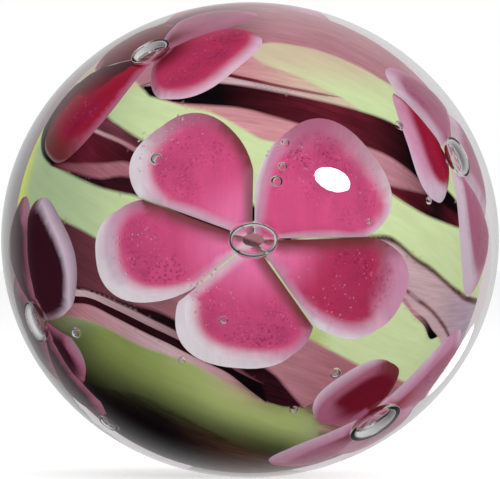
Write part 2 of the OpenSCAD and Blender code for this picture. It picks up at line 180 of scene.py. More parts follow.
olive_end = smooth([(20, -64), (25, -71), (28, -80), (28, -87)])
corner_low = smooth([(28, -87), (40, -103), (70, -149)])
olive_low = smooth([(-90, -27), (-84, -34), (-80, -42), (-80, -54), (-73, -62), (-57, -61),
                    (-42, -61), (-32, -65), (-19, -74), (-9, -82), (0, -90), (8, -97), (17, -101),
                    (24, -97), (28, -87)])

BANDS = {
    "crown_band": (joined(crown_far, crown_left, lens_top, round_far(19, 129)), "mauve"),
    "rose_band": (joined(crown_left, lens_low, back(line_top), back(group_left)), "mauve"),
    "top_line": (joined(line_top, back(line_low)), "purple"),
    "pale_strip": (joined(line_low, strip_end, back(purple_top)), "pale"),
    "purple_band": (joined(purple_top, purple_right, back(purple_end), back(purple_low),
                           back(purple_left)), "purple"),
    "mauve_band": (joined(purple_low, back(mauve_end), back(mauve_low)), "mauve"),
    "dark_band": (joined(mauve_end, purple_end, back(dark_low)), "black"),
    "wedge_dark": (joined(wedge_top, back(split_right), back(thread_top), back(split_left)), "black"),
    "wedge_thread": (joined(thread_top, back(thread_low)), "pale"),
    "wedge_maroon": (joined(split_left, thread_low, split_right, wedge_top_right,
                            back(wedge_mauve_top), back(wedge_tip)), "purple"),
    "wedge_mauve": (joined(wedge_mauve_top, back(wedge_mauve_low)), "mauve"),
    "wedge_low_dark": (joined(wedge_mauve_low, back(wedge_dark_low), back(wedge_low_left)), "black"),
    "wedge_pale": (joined(wedge_dark_low, back(wedge_low_right), back(wedge_line_top)), "pale"),
    "wedge_line": (joined(wedge_line_top, back(wedge_line_low)), "black"),
    "low_mauve": (joined(low_top, back(corner_top), back(low_mauve_low)), "mauve"),
    "low_black": (joined(low_mauve_low, back(olive_right), back(black_end), back(pale_top)), "black"),
    "low_pale_line": (joined(pale_top, back(pale_low)), "pale"),
    "low_black_line": (joined(pale_low, black_end, back(black_low), back(black_low_left)), "black"),
    "low_rose": (joined(black_low, back(olive_top)), "mauve"),
    "corner_dark": (joined(corner_top, low_top_right, back(corner_low), back(olive_end)), "black"),
    "base_dark": (joined(black_low_left, olive_low, corner_low, round_far(-65, -171)), "black"),
}

# The coloured glasses, 0 to 255, matched to the photograph; olive, fresh olive and moss are the leaf
# green painted darker as shade low on the core
GLASS = {
    "black": (14, 7, 10), "plum": (48, 15, 24), "wine": (95, 28, 40), "umber": (85, 55, 45),
    "dusk": (105, 55, 65), "mauve": (165, 105, 115), "rose": (180, 125, 135), "blush": (200, 140, 145),
    "pale": (195, 165, 170), "cream": (205, 190, 160), "leaf": (202, 218, 165),
    "dull_leaf": (172, 192, 148), "lime": (210, 220, 90), "fresh_olive": (175, 190, 120),
    "olive": (130, 145, 80), "moss_shade": (78, 84, 50), "lilac": (172, 150, 168),
}
# Where along a band each glass is at its purest, in degrees to the right
RUNS = {
    "crown_band": [(-60, "wine"), (-20, "dusk"), (10, "rose")],
    "rose_band": [(-20, "rose"), (0, "blush"), (30, "cream")],
    "top_line": [(0, "wine"), (30, "mauve")],
    "pale_strip": [(0, "pale"), (40, "cream")],
    "purple_band": [(-10, "black"), (30, "wine"), (60, "black")],
    "mauve_band": [(10, "blush"), (50, "rose"), (70, "dusk")],
    "dark_band": [(50, "wine"), (70, "black"), (90, "wine")],
    "wedge_dark": [(-80, "plum"), (-50, "dusk"), (-30, "plum"), (0, "black")],
    "wedge_thread": [(-60, "pale"), (-40, "mauve")],
    "wedge_maroon": [(-80, "black"), (-60, "wine"), (-40, "plum"), (0, "black"), (30, "plum"),
                     (60, "umber")],
    "wedge_mauve": [(-80, "wine"), (-50, "mauve"), (20, "mauve"), (40, "pale"), (70, "pale"),
                    (100, "lilac")],
    "wedge_low_dark": [(-70, "black"), (-50, "plum"), (60, "dusk")],
    "wedge_pale": [(60, "pale")],
    "wedge_line": [(60, "rose"), (70, "black")],
    "low_mauve": [(-90, "plum"), (-50, "dusk"), (0, "rose"), (30, "mauve")],
    "low_black": [(-60, "plum"), (-20, "black"), (20, "plum")],
    "low_pale_line": [(-60, "pale"), (0, "dusk")],
    "low_black_line": [(-60, "plum"), (0, "black")],
    "low_rose": [(-80, "dusk"), (-60, "rose"), (-30, "pale"), (0, "rose")],
    "base_dark": [(-90, "dusk"), (-70, "black"), (-30, "black"), (0, "umber")],
    "corner_dark": [(25, "plum"), (40, "mauve")],
}


# ---- the skin of the core: one net of triangles over all bands, cut along their edges
def inside(points, outline):
    """Which points lie inside an outline."""
    p, q = np.asarray(points, float), np.asarray(outline, float)
    hit = np.zeros(len(p), bool)
    near = ((p >= q.min(0) - 1e-9) & (p <= q.max(0) + 1e-9)).all(1)
    x, y = p[near, 0][:, None], p[near, 1][:, None]
    a, b = q, np.roll(q, -1, 0)
    for s in range(0, len(x), 4000):
        xs, ys = x[s:s + 4000], y[s:s + 4000]
        cross = (a[:, 1] > ys) != (b[:, 1] > ys)
        with np.errstate(divide="ignore", invalid="ignore"):
            at = a[:, 0] + (ys - a[:, 1]) * (b[:, 0] - a[:, 0]) / (b[:, 1] - a[:, 1])
        hit[np.flatnonzero(near)[s:s + 4000]] = (cross & (xs < at)).sum(1) % 2 == 1
    return hit


def region(points):
    """The band under each point, or -1 for the green of the core."""
    out = np.full(len(points), -1)
    for k, (outline, slot) in enumerate(BANDS.values()):
        out[(out < 0) & inside(points, outline)] = k
    return out


def glass(name):
    return linear(GLASS[name])[None]


def run_colour(x, run):
    """The colour along a band, x degrees to the right."""
    places, names = zip(*run)
    rgb = np.concatenate([glass(name) for name in names])
    return np.stack([np.interp(x, places, rgb[:, c]) for c in range(3)], 1)


def core_colour(x, y):
    """Leaf green, duller to the left, cream on top, and painted shade from olive to black towards the
    lower left.
    """
    colour = mix(glass("leaf"), glass("dull_leaf"), step(-30, -70, x))
    colour = mix(colour, glass("lime"), step(-95, -110, x))
    colour = mix(colour, glass("cream"), step(52, 72, y) * step(75, 40, x))
    olive = mix(glass("olive"), glass("fresh_olive"), step(-45, 0, x))
    below = -(65 + 0.5 * x + y)  # degrees under the brightest line of the olive, below which the painted shade deepens
    olive = mix(olive, glass("moss_shade"), np.maximum(step(0, 15, below), step(-50, -68, x)))
    olive = mix(olive, glass("black"), step(12, 32, below))
    return mix(colour, olive, step(-26, -34, y) * step(30, 20, x))


def painted_at(points, which):
    """The colour of a band, or of the core, at each point."""
    out = np.zeros((len(points), 3))
    names = list(BANDS) + ["core"]
    for k in set(which.tolist()):
        here, name = which == k, names[k]
        x, y = points[here].T
        out[here] = core_colour(x, y) if name == "core" else run_colour(x, RUNS[name])
    return out


def on_core(points, r):
    """Points in metres at radius r for places in degrees."""
    p = np.asarray(points, float)
    t = np.radians(np.hypot(p[:, 0], p[:, 1]))
    s = np.where(t > 1e-9, np.sin(t) / np.maximum(np.degrees(t), 1e-9), math.pi / 180)
    return np.stack([s * p[:, 0], -np.cos(t), s * p[:, 1] * PRESS], 1) * r * MM


def clear_of(candidates, taken, distance, cell=4):
    """Which candidates keep a distance from every point that is taken."""
    cells = {}
    for x, y in taken:
        cells.setdefault((int(x // cell), int(y // cell)), []).append((x, y))

    def free(x, y):
        cx, cy = int(x // cell), int(y // cell)
        return not any((u - x) ** 2 + (v - y) ** 2 < distance * distance
                       for gx in (cx - 1, cx, cx + 1) for gy in (cy - 1, cy, cy + 1)
                       for u, v in cells.get((gx, gy), ()))
    return np.array([free(x, y) for x, y in candidates])


def facing_out(verts, tris, least):
    """The triangles larger than least, all turned the same way round."""
    p = verts[tris]
    area = ((p[:, 1, 0] - p[:, 0, 0]) * (p[:, 2, 1] - p[:, 0, 1])
            - (p[:, 1, 1] - p[:, 0, 1]) * (p[:, 2, 0] - p[:, 0, 0]))
    tris, area = tris[np.abs(area) > least], area[np.abs(area) > least]
    tris[area < 0] = tris[area < 0][:, ::-1]
    return tris


def net(outlines):
    """Triangles that follow all outlines, with extra points close beside them."""
    index, points, edges = {}, [], set()

    def add(q):
        key = (round(q[0], 3), round(q[1], 3))
        if key not in index:
            index[key] = len(points)
            points.append(key)
        return index[key]

    beside = []
    for o in outlines:
        n = len(o)
        for i in range(n):
            p, q = np.array(o[i]), np.array(o[(i + 1) % n])
            if tuple(p) > tuple(q):
                p, q = q, p
            length = np.linalg.norm(q - p)
            ahead = np.linalg.norm(p) < COARSE_FROM
            parts = max(1, int(length / 1.6 + 0.5) if ahead else int(length / 5))
            last = add(p)
            for k in range(1, parts + 1):
                now = add(p + (q - p) * k / parts)
                if now != last:
                    edges.add((min(last, now), max(last, now)))
                last = now
            if length > 1e-6 and ahead:
                side = np.array([-(q - p)[1], (q - p)[0]]) / length * NET_BESIDE
                for k in range(parts):
                    m = p + (q - p) * (k + 0.5) / parts
                    beside += [m + side, m - side]
    fixed = np.array(points)

    beside = np.array(beside)
    beside = beside[clear_of(beside, fixed, NET_BESIDE * 0.8)]
    for q in beside:
        add(q)
    grid = []
    rows, columns = int(NET_END / NET_SPACING / 0.866), int(NET_END / NET_SPACING)
    for j in range(-rows, rows + 1):
        for i in range(-columns - 1, columns + 1):
            q = ((i + 0.5 * (j % 2)) * NET_SPACING, j * NET_SPACING * 0.866)
            r = math.hypot(*q)
            if r < NET_END and (r < COARSE_FROM or (i % 2 == 0 and j % 2 == 0)):
                grid.append(q)
    grid = np.array(grid)
    grid = grid[clear_of(grid, np.array(points), 1.2)]
    for q in grid:
        add(q)
    ring = [add((NET_END * math.cos(a), NET_END * math.sin(a))) for a in np.radians(range(0, 360, 4))]
    for a, b in zip(ring, ring[1:] + ring[:1]):
        edges.add((min(a, b), max(a, b)))
    verts, _, tris, _, _, _ = delaunay_2d_cdt([Vector(p) for p in points], list(edges), [], 0, 1e-5)
    return np.array([tuple(v) for v in verts]), np.array([t for t in tris if len(t) == 3])


def make_piece(name, co, faces, colours, normals=None, extra=None):
    """A mesh piece with painted vertices. normals has one direction per vertex, or nan to leave it."""
    mesh = bpy.data.meshes.new(name)
    mesh.from_pydata([tuple(c) for c in co], [], [tuple(int(i) for i in f) for f in faces])
    mesh.validate()
    paint = mesh.attributes.new("paint", "FLOAT_COLOR", "POINT")
    paint.data.foreach_set("color", np.concatenate([colours, np.ones((len(colours), 1))], 1).ravel())
    for key, values in (extra or {}).items():
        mesh.attributes.new(key, "FLOAT", "POINT").data.foreach_set("value", np.asarray(values, float))
    mesh.polygons.foreach_set("use_smooth", [True] * len(mesh.polygons))
    if normals is not None:
        loops = np.zeros(len(mesh.loops), int)
        mesh.loops.foreach_get("vertex_index", loops)
        own = np.repeat(np.array([tuple(p.normal) for p in mesh.polygons]),
                        [p.loop_total for p in mesh.polygons], axis=0)
        wanted = normals[loops]
        good = (np.isfinite(wanted).all(1)) & ((wanted * own).sum(1) > 0.3)
        mesh.normals_split_custom_set([tuple(w if g else o) for w, o, g in zip(wanted, own, good)])
    obj = bpy.data.objects.new(name, mesh)
    scene.collection.objects.link(obj)
    return obj


def outward(co):
    n = np.asarray(co) / np.array([1, 1, PRESS * PRESS])
    return n / np.linalg.norm(n, axis=1)[:, None]


def top_normals(top, tris):
    p = top[tris]
    face = np.cross(p[:, 1] - p[:, 0], p[:, 2] - p[:, 0])
    out = np.zeros_like(top)
    for k in range(3):
        np.add.at(out, tris[:, k], face)
    return out / np.maximum(np.linalg.norm(out, axis=1), 1e-20)[:, None]


def slab(name, top, bottom, tris, colours, extra=None):
    """A closed piece between a top and a bottom net with the same triangles."""
    used = np.unique(tris)
    new = {int(v): i for i, v in enumerate(used)}
    t = [[new[int(v)] for v in f] for f in tris]
    n = len(used)
    sides = dict.fromkeys((a, b) for f in t for a, b in zip(f, f[1:] + f[:1]))
    rim = [(a, b) for a, b in sides if (b, a) not in sides]
    faces = t + [[v + n for v in f[::-1]] for f in t] + [[b, a, a + n, b + n] for a, b in rim]
    co = np.concatenate([top[used], bottom[used]])
    col = np.concatenate([colours[used], colours[used]])
    normals = np.concatenate([top_normals(top, tris)[used], np.full((n, 3), np.nan)])
    if extra:
        extra = {k: np.concatenate([v[used], v[used]]) for k, v in extra.items()}
    return make_piece(name, co, faces, col, normals, extra)


# ---- the bands and the core
SOFT_ROUNDS = 14


def paint_net(verts, tris, which):
    """One colour for each vertex: the mean of the regions that meet there, and soft low down."""
    total, count = np.zeros((len(verts), 3)), np.zeros(len(verts))
    soft = np.ones(len(verts), bool)
    gentle = {-1} | {list(BANDS).index(name) for name in ("base_dark", "corner_dark", "low_rose")}
    for k in sorted(set(which.tolist())):
        here = np.unique(tris[which == k])
        total[here] += painted_at(verts[here], np.full(len(here), k))
        count[here] += 1
        if k not in gentle:
            soft[here] = False
    colours = total / np.maximum(count, 1)[:, None]
    # below a slanted line the colours run into each other
    low = step(-31, -38, verts[:, 1] + 0.32 * (verts[:, 0] + 60)) * soft
    a = np.concatenate([tris[:, 0], tris[:, 1], tris[:, 2], tris[:, 1], tris[:, 2], tris[:, 0]])
    b = np.concatenate([tris[:, 1], tris[:, 2], tris[:, 0], tris[:, 0], tris[:, 1], tris[:, 2]])
    n = np.bincount(a, minlength=len(verts))
    for _ in range(SOFT_ROUNDS):
        near = np.stack([np.bincount(a, colours[b, c], len(verts)) for c in range(3)], 1)
        near /= np.maximum(n, 1)[:, None]
        colours = mix(colours, near, 0.7 * low)
    return colours


def flow(verts, kind):
    """Degrees across and along the streaks of a band."""
    x, y = verts[:, 0], verts[:, 1]
    across = {"upper": y + 0.15 * x + 0.0035 * x * x, "middle": y + 0.45 * x - 0.002 * x * x,
              "lower": y + 0.5 * x}[kind]
    return across, x - 0.3 * y


def set_flow(obj, values):
    flat = np.zeros((len(values[0]), 3))
    flat[:, 0], flat[:, 1] = values
    obj.data.attributes.new("flow", "FLOAT_VECTOR", "POINT").data.foreach_set("vector", flat.ravel())


def times(tree, a, b):
    """A node that multiplies a socket by a socket or a number."""
    node = tree.nodes.new("ShaderNodeMath")
    node.operation = "MULTIPLY"
    for socket, value in zip(node.inputs, (a, b)):
        if isinstance(value, float):
            socket.default_value = value
        else:
            tree.links.new(value, socket)
    return node.outputs["Value"]


def graded(tree, value, a, b, low=0.0, high=1.0):
    """A node that takes a value from the range a to b to the range low to high."""
    node = tree.nodes.new("ShaderNodeMapRange")
    for key, number in (("From Min", a), ("From Max", b), ("To Min", low), ("To Max", high)):
        node.inputs[key].default_value = number
    tree.links.new(value, node.inputs["Value"])
    return node.outputs["Result"]


def attribute(tree, name, output):
    node = tree.nodes.new("ShaderNodeAttribute")
    node.attribute_name = name
    return node.outputs[output]


def new_material(name):
    mat = bpy.data.materials.new(name)
    mat.use_nodes = True
    return mat, mat.node_tree, mat.node_tree.nodes["Principled BSDF"]


def glass_colour(name, fine=0.10, cloud=0.08, threads=0.0):
    """Coloured glass that keeps the painted colour and adds streaks along the flow."""
    mat, tree, shader = new_material(name)
    shader.inputs["Roughness"].default_value = 0.9
    shader.inputs["Specular IOR Level"].default_value = 0.0
    stream = attribute(tree, "flow", "Vector")

    def streaks(factors, detail, amount):
        scale = tree.nodes.new("ShaderNodeVectorMath")
        scale.operation = "MULTIPLY"
        scale.inputs[1].default_value = factors
        tree.links.new(stream, scale.inputs[0])
        tex = tree.nodes.new("ShaderNodeTexNoise")
        tex.inputs["Scale"].default_value = 1
        tex.inputs["Detail"].default_value = detail
        tex.inputs["Roughness"].default_value = 0.6
        tree.links.new(scale.outputs["Vector"], tex.inputs["Vector"])
        return graded(tree, tex.outputs["Fac"], 0.3, 0.7, 1 - amount, 1 + amount)

    last = times(tree, streaks((1.1, 0.06, 1), 4, fine), streaks((0.22, 0.05, 1), 2, cloud))
    if threads:
        last = times(tree, last, streaks((2.6, 0.03, 1), 1, threads))
    tint = tree.nodes.new("ShaderNodeVectorMath")
    tint.operation = "SCALE"
    tree.links.new(attribute(tree, "paint", "Color"), tint.inputs[0])
    tree.links.new(last, tint.inputs["Scale"])
    tree.links.new(tint.outputs["Vector"], shader.inputs["Base Color"])
    return mat


STREAKS = {
    "mauve": glass_colour("mauve_glass", 0.13, 0.10, 0.06),
    "pale": glass_colour("pale_glass", 0.10, 0.06, 0.05),
    "purple": glass_colour("purple_glass", 0.22, 0.20, 0.10),
    "black": glass_colour("black_glass", 0.30, 0.30, 0.10),
    "green": glass_colour("green_glass", 0.025, 0.05),
}


def finish_piece(obj, node, mat):
    obj.data.materials.append(mat)
    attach(obj, "root")
    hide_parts(node)


def kind_of(name):
    if name.startswith("wedge"):
        return "middle"
    return "lower" if name.startswith(("low", "base", "corner")) else "upper"


# Lines too thin for a colour that is the mean with their neighbours
THIN = {"top_line", "wedge_thread", "wedge_line", "low_pale_line", "low_black_line"}


def build_core():
    verts, tris = net([o for o, _ in BANDS.values()])
    tris = facing_out(verts, tris, 1e-7)
    which = region(verts[tris].mean(1))
    colours = paint_net(verts, tris, which)
    top = on_core(verts, CORE_R)
    for k, (name, (_, slot)) in enumerate(BANDS.items()):
        part = tris[which == k]
        used = np.unique(part)
        own = painted_at(verts, np.full(len(verts), k)) if name in THIN else colours
        obj = slab(name + "_glass", top, on_core(verts, CORE_R - BAND_DEPTH), part, own)
        flows = flow(verts[used], kind_of(name))
        set_flow(obj, [np.concatenate([v, v]) for v in flows])
        finish_piece(obj, name, STREAKS[slot])
    # the core: its green skin outside, and a floor under the bands
    floor = on_core(verts, CORE_R - FLOOR_DEPTH)
    green, rest = tris[which == -1], tris[which >= 0]
    n = len(verts)
    sides = {(int(a), int(b)) for f in green for a, b in zip(f, np.roll(f, -1))}
    rim = [(a, b) for a, b in sides if (b, a) not in sides]
    ring = [e for e in rim if min(np.hypot(*verts[e[0]]), np.hypot(*verts[e[1]])) > NET_END - 0.5]
    closed = set(ring)
    walls = [[b, a, a + n, b + n] for a, b in rim if (a, b) not in closed]
    pole = 2 * n
    faces = [list(f) for f in green] + [[v + n for v in f] for f in rest] + walls
    faces += [[b, a, pole] for a, b in ring]
    co = np.concatenate([top, floor, [[0, CORE_R * MM, 0]]])
    col = np.concatenate([colours, colours, [colours[ring[0][0]]]])
    used = sorted({int(v) for f in faces for v in f})
    new = {v: i for i, v in enumerate(used)}
    flat = np.concatenate([verts, verts, [[NET_END, 0]]])
    co, col, flat = co[used], col[used], flat[used]
    obj = make_piece("core_glass", co, [[new[int(v)] for v in f] for f in faces], col, outward(co))
    set_flow(obj, flow(flat, "lower"))
    finish_piece(obj, "green_core", STREAKS["green"])


# ---- the flowers: name, longitude, latitude, and how far the pink lies over the white
FLOWERS = [
    ("front", -89, 0, (0.55, 0.4)),
    ("upper_left", -168, 62, (0.1, 0.1)),
    ("right", -1, 22, (0.4, 0.4)),
    ("lower_right", -2, -56, (0.5, 0.1)),
    ("left", 175, -21, (-0.5, -0.1)),
    ("back", 91, 0, (-0.3, 0.3)),
]
BUBBLE_SIZE = {"front": 1.0, "upper_left": 0.74, "right": 0.74, "lower_right": 1.0, "left": 0.74,
               "back": 1.0}
# turn, reach, half width to the left and to the right, and where a petal is widest
PETALS = [
    [(38, 8.9, 4.2, 4.3, 0.66), (133, 9.2, 3.1, 3.6, 0.64), (185, 9.4, 3.3, 3.1, 0.67),
     (265, 8.1, 4.1, 4.2, 0.6), (336, 9.8, 3, 3.3, 0.7)],
    [(36, 5.8, 4.3, 3.9, 0.5), (127, 7.2, 2.1, 2.1, 0.6), (179, 6.9, 2.1, 2.3, 0.62),
     (255, 7.6, 2.9, 4.6, 0.6)],
    [(55, 5.7, 3.4, 3.2, 0.55), (158, 4.3, 2.9, 3.9, 0.5), (300, 7.2, 3, 2.8, 0.6),
     (350, 6.5, 2.8, 2.6, 0.6)],
    [(48, 7, 2.8, 2.3, 0.62), (179, 5.5, 2.7, 2.9, 0.5), (308, 6.4, 2.4, 2.4, 0.6),
     (358, 6.8, 2.2, 2.2, 0.6)],
    [(47, 6.6, 3.9, 3.4, 0.55), (120, 6.5, 2.6, 2.6, 0.6), (180, 6.5, 2.7, 2.7, 0.6),
     (236, 6, 2.3, 2.3, 0.6), (285, 3.9, 1.9, 2, 0.55)],
    [(18, 8.8, 3.6, 3.6, 0.64), (90, 8.8, 3.6, 3.6, 0.64), (162, 8.8, 3.6, 3.6, 0.64),
     (234, 8.8, 3.6, 3.6, 0.64), (306, 8.8, 3.6, 3.6, 0.64)],
]
# The glasses of the petals, matched to the photograph; the brown is painted shade for the petals' shaded
# rims
HOT, RASPBERRY, CRIMSON, GARNET = (206, 80, 126), (178, 52, 90), (150, 26, 52), (105, 20, 38)
CANDY, DUSTY, FADED, DARK = (224, 112, 160), (200, 140, 170), (165, 95, 122), (52, 18, 30)
WHITE, LILAC, PALE, BROWN_SHADE = (224, 216, 222), (204, 182, 198), (214, 176, 196), (110, 50, 52)
GREY_LILAC = (150, 126, 140)
RIM_WHITE = {"left": GREY_LILAC, "lower_right": LILAC, "right": LILAC}
# Each petal: its glass far out, its glass near the middle of the flower, and its rim in a few
# directions in degrees, with the colour there and how far it reaches in. The rims are painted light
# and shade: pale where the cupped petal is lit, partly the white glass under the pink, and brown where it
# is shaded
SOFT_PETAL = (FADED, GARNET, [(180, DUSTY, 0.8), (0, FADED, 0.6)])
MAUVE_PETAL = (FADED, FADED, [(180, LILAC, 0.8), (0, DUSTY, 0.8)])
DARK_PETAL = (DARK, DARK, [(0, FADED, 0.5), (180, BROWN_SHADE, 0.5)])
BACK_PETAL = (HOT, CANDY, [(150, DUSTY, 0.8), (225, WHITE, 0.9), (315, WHITE, 1.4), (45, BROWN_SHADE, 0.6)])
LOOKS = {
    "front": [(HOT, HOT, [(180, DUSTY, 0.6), (100, FADED, 2.5), (50, FADED, 1.8), (0, WHITE, 0.55),
                          (320, PALE, 0.5), (270, PALE, 0.4)]),
              (HOT, CANDY, [(180, WHITE, 1.0), (225, PALE, 0.9), (100, FADED, 1.1), (30, BROWN_SHADE, 1.15),
                            (300, PALE, 0.3)]),
              (HOT, CANDY, [(180, LILAC, 0.9), (270, WHITE, 0.9), (315, PALE, 0.4), (78, BROWN_SHADE, 1.25),
                            (135, DUSTY, 1.0)]),
              (HOT, CANDY, [(180, WHITE, 1.3), (245, WHITE, 1.0), (315, DUSTY, 0.6), (5, BROWN_SHADE, 1.15),
                            (120, PALE, 0.7)]),
              (RASPBERRY, CANDY, [(270, PALE, 0.9), (0, DUSTY, 2.2), (85, BROWN_SHADE, 1.3),
                                  (225, DUSTY, 0.4)])],
    "upper_left": [(RASPBERRY, GARNET, [(180, FADED, 0.5), (0, PALE, 0.6)]),
                   SOFT_PETAL,
                   (GARNET, GARNET, [(180, FADED, 0.6), (0, BROWN_SHADE, 0.6)]),
                   (CRIMSON, CRIMSON, [(180, DARK, 4.6), (0, FADED, 0.4), (270, BROWN_SHADE, 1.2)])],
    "right": [MAUVE_PETAL,
              (CRIMSON, GARNET, [(180, DUSTY, 1.1), (235, LILAC, 0.8), (0, GARNET, 0.5)]),
              MAUVE_PETAL, MAUVE_PETAL],
    "lower_right": [(FADED, CRIMSON, [(180, DUSTY, 0.8), (0, PALE, 0.6)]),
                    (GARNET, GARNET, [(270, FADED, 1.9), (180, FADED, 0.8), (90, BROWN_SHADE, 0.9)]),
                    SOFT_PETAL, SOFT_PETAL],
    "left": [(DARK, DARK, [(0, LILAC, 0.45), (180, BROWN_SHADE, 0.5)]),
             DARK_PETAL, DARK_PETAL, DARK_PETAL, DARK_PETAL],
    "back": [BACK_PETAL] * 5,
}


def petal_outline(p, shift, n=14, roundness=0.83):
    def side(half):
        out = [(p[1] * p[4] * i / n, half * math.sin(math.pi / 2 * i / n)) for i in range(1, n + 1)]
        for i in range(1, n):
            s, c = math.sin(math.pi / 2 * i / n), math.cos(math.pi / 2 * i / n)
            out.append((p[1] * (p[4] + (1 - p[4]) * s ** roundness), half * c ** roundness))
        return out
    pts = [(0, 0)] + side(p[2]) + [(p[1], 0)] + [(x, -y) for x, y in side(p[3])][::-1]
    c, s = math.cos(math.radians(p[0])), math.sin(math.radians(p[0]))
    return [(x * c - y * s + shift[0], x * s + y * c + shift[1]) for x, y in pts]


def petal_room(petals, i):
    def between(p, q, turn):
        return p[0] + (q[0] + turn - p[0]) * p[2] / (p[2] + q[3])
    n = len(petals)
    first, last = i == 0, i == n - 1
    a = between(petals[i - 1], petals[i], 360 if first else 0) - (360 if first else 0)
    b = between(petals[i], petals[(i + 1) % n], 360 if last else 0)
    m, start = math.radians((a + b) / 2), PETAL_GAP / 2 / math.sin(math.radians((b - a) / 2))
    pts = [(start * math.cos(m), start * math.sin(m))]
    for k in range(13):
        t = math.radians(a + (b - a) * k / 12)
        pts.append((ROOM_REACH * math.cos(t), ROOM_REACH * math.sin(t)))
    return pts


def near_edge(points, a, b):
    """Distance from each point to the nearest of the edges a-b, the way to it, and that edge's left."""
    d = b - a
    t = np.clip(((points[:, None] - a) * d).sum(2) / np.maximum((d * d).sum(1), 1e-12), 0, 1)
    to = a + t[..., None] * d - points[:, None]
    dist = np.linalg.norm(to, axis=2)
    best = dist.argmin(1)
    row = np.arange(len(points))
    left = np.stack([-d[:, 1], d[:, 0]], 1) / np.maximum(np.linalg.norm(d, axis=1), 1e-9)[:, None]
    return dist[row, best], to[row, best], left[best]


def border(tris):
    sides = {(int(a), int(b)) for f in tris for a, b in zip(f, np.roll(f, -1))}
    return np.array([e for e in sides if (e[1], e[0]) not in sides])


def petal_paint(q, look, petal, d_in, to_rim, inner, rim_white):
    """Colour and grain of a petal at q, with painted light and shade on its rim by the way the rim faces.
    inner says which points lie in the pink.
    """
    deep, base, rims = look
    turn = math.radians(petal[0])
    t = np.hypot(q[:, 0], q[:, 1]) / petal[1]
    # the rim's colour by the way it faces: painted light on one side of the petal, painted brown shade on
    # the other
    facing = np.arctan2(to_rim[:, 1], to_rim[:, 0])
    weight = np.stack([np.exp(5 * np.cos(facing - math.radians(a))) for a, _, _ in rims], 1)
    weight /= weight.sum(1)[:, None]
    edge = weight @ np.stack([linear(rim) for _, rim, _ in rims])
    reach = weight @ np.array([w for _, _, w in rims])
    colour = mix(linear(deep)[None], linear(base)[None], step(0.56, 0.2, t))
    shade = 1 - 0.10 * step(0.55, 0.8, t) * step(0.4, 1.6, d_in)
    out = mix(edge, colour * shade[:, None], step(0.1, 1, d_in / reach))
    # the white glass beside the pink, with the same painted light and shade at its edge
    outside = mix(edge, linear(rim_white)[None], step(0.0, 0.4, d_in))
    out = np.where(inner[:, None], out, outside)
    left = q @ np.array([-math.sin(turn), math.cos(turn)]) / petal[2]
    grain = step(0.42, 0.62, t) * step(0.5, 1.1, d_in) * inner * (0.55 + 0.45 * step(-0.2, 0.5, left))
    return out, grain * (max(deep) > 120)


def pink_glass():
    """Pink glass with clumps of dark grains for tiny bubbles, and a few light ones that are painted
    glints on them, where the grain attribute is high.
    """
    mat = glass_colour("pink_glass", 0.03, 0.05)
    tree = mat.node_tree
    tinted = tree.nodes["Principled BSDF"].inputs["Base Color"]
    where = tree.nodes.new("ShaderNodeTexCoord").outputs["Object"]
    grain = attribute(tree, "grain", "Fac")

    def clumps(seed):
        tex = tree.nodes.new("ShaderNodeTexNoise")
        tex.noise_dimensions = "4D"
        tex.inputs["W"].default_value = seed * 100
        tex.inputs["Scale"].default_value = 700
        tex.inputs["Detail"].default_value = 1
        tree.links.new(where, tex.inputs["Vector"])
        return times(tree, graded(tree, tex.outputs["Fac"], 0.42, 0.62), grain)

    def dots(scale, size, seed):
        shift = tree.nodes.new("ShaderNodeVectorMath")
        shift.operation = "ADD"
        shift.inputs[1].default_value = (seed, seed * 2, seed * 3)
        tree.links.new(where, shift.inputs[0])
        tex = tree.nodes.new("ShaderNodeTexVoronoi")
        tex.inputs["Scale"].default_value = scale
        tree.links.new(shift.outputs["Vector"], tex.inputs["Vector"])
        return times(tree, graded(tree, tex.outputs["Distance"], size, size * 0.55), clumps(seed))

    def blend(base, mask, colour, amount):
        node = tree.nodes.new("ShaderNodeMix")
        node.data_type = "RGBA"
        tree.links.new(times(tree, mask, amount), node.inputs["Factor"])
        tree.links.new(base, node.inputs["A"])
        node.inputs["B"].default_value = (*linear(colour), 1)
        return node.outputs["Result"]

    last = blend(tinted.links[0].from_socket, clumps(0.041), (140, 38, 84), 0.35)
    last = blend(last, dots(3600, 0.46, 0.011), (108, 24, 56), 0.5)
    last = blend(last, dots(6400, 0.44, 0.019), (120, 30, 66), 0.45)
    # light dots: painted glints of the tiny bubbles
    last = blend(last, dots(3400, 0.25, 0.027), (228, 164, 192), 0.34)
    tree.links.new(last, tinted)
    return mat


PINK, WHITE_GLASS = pink_glass(), glass_colour("white_glass", 0.03, 0.05)


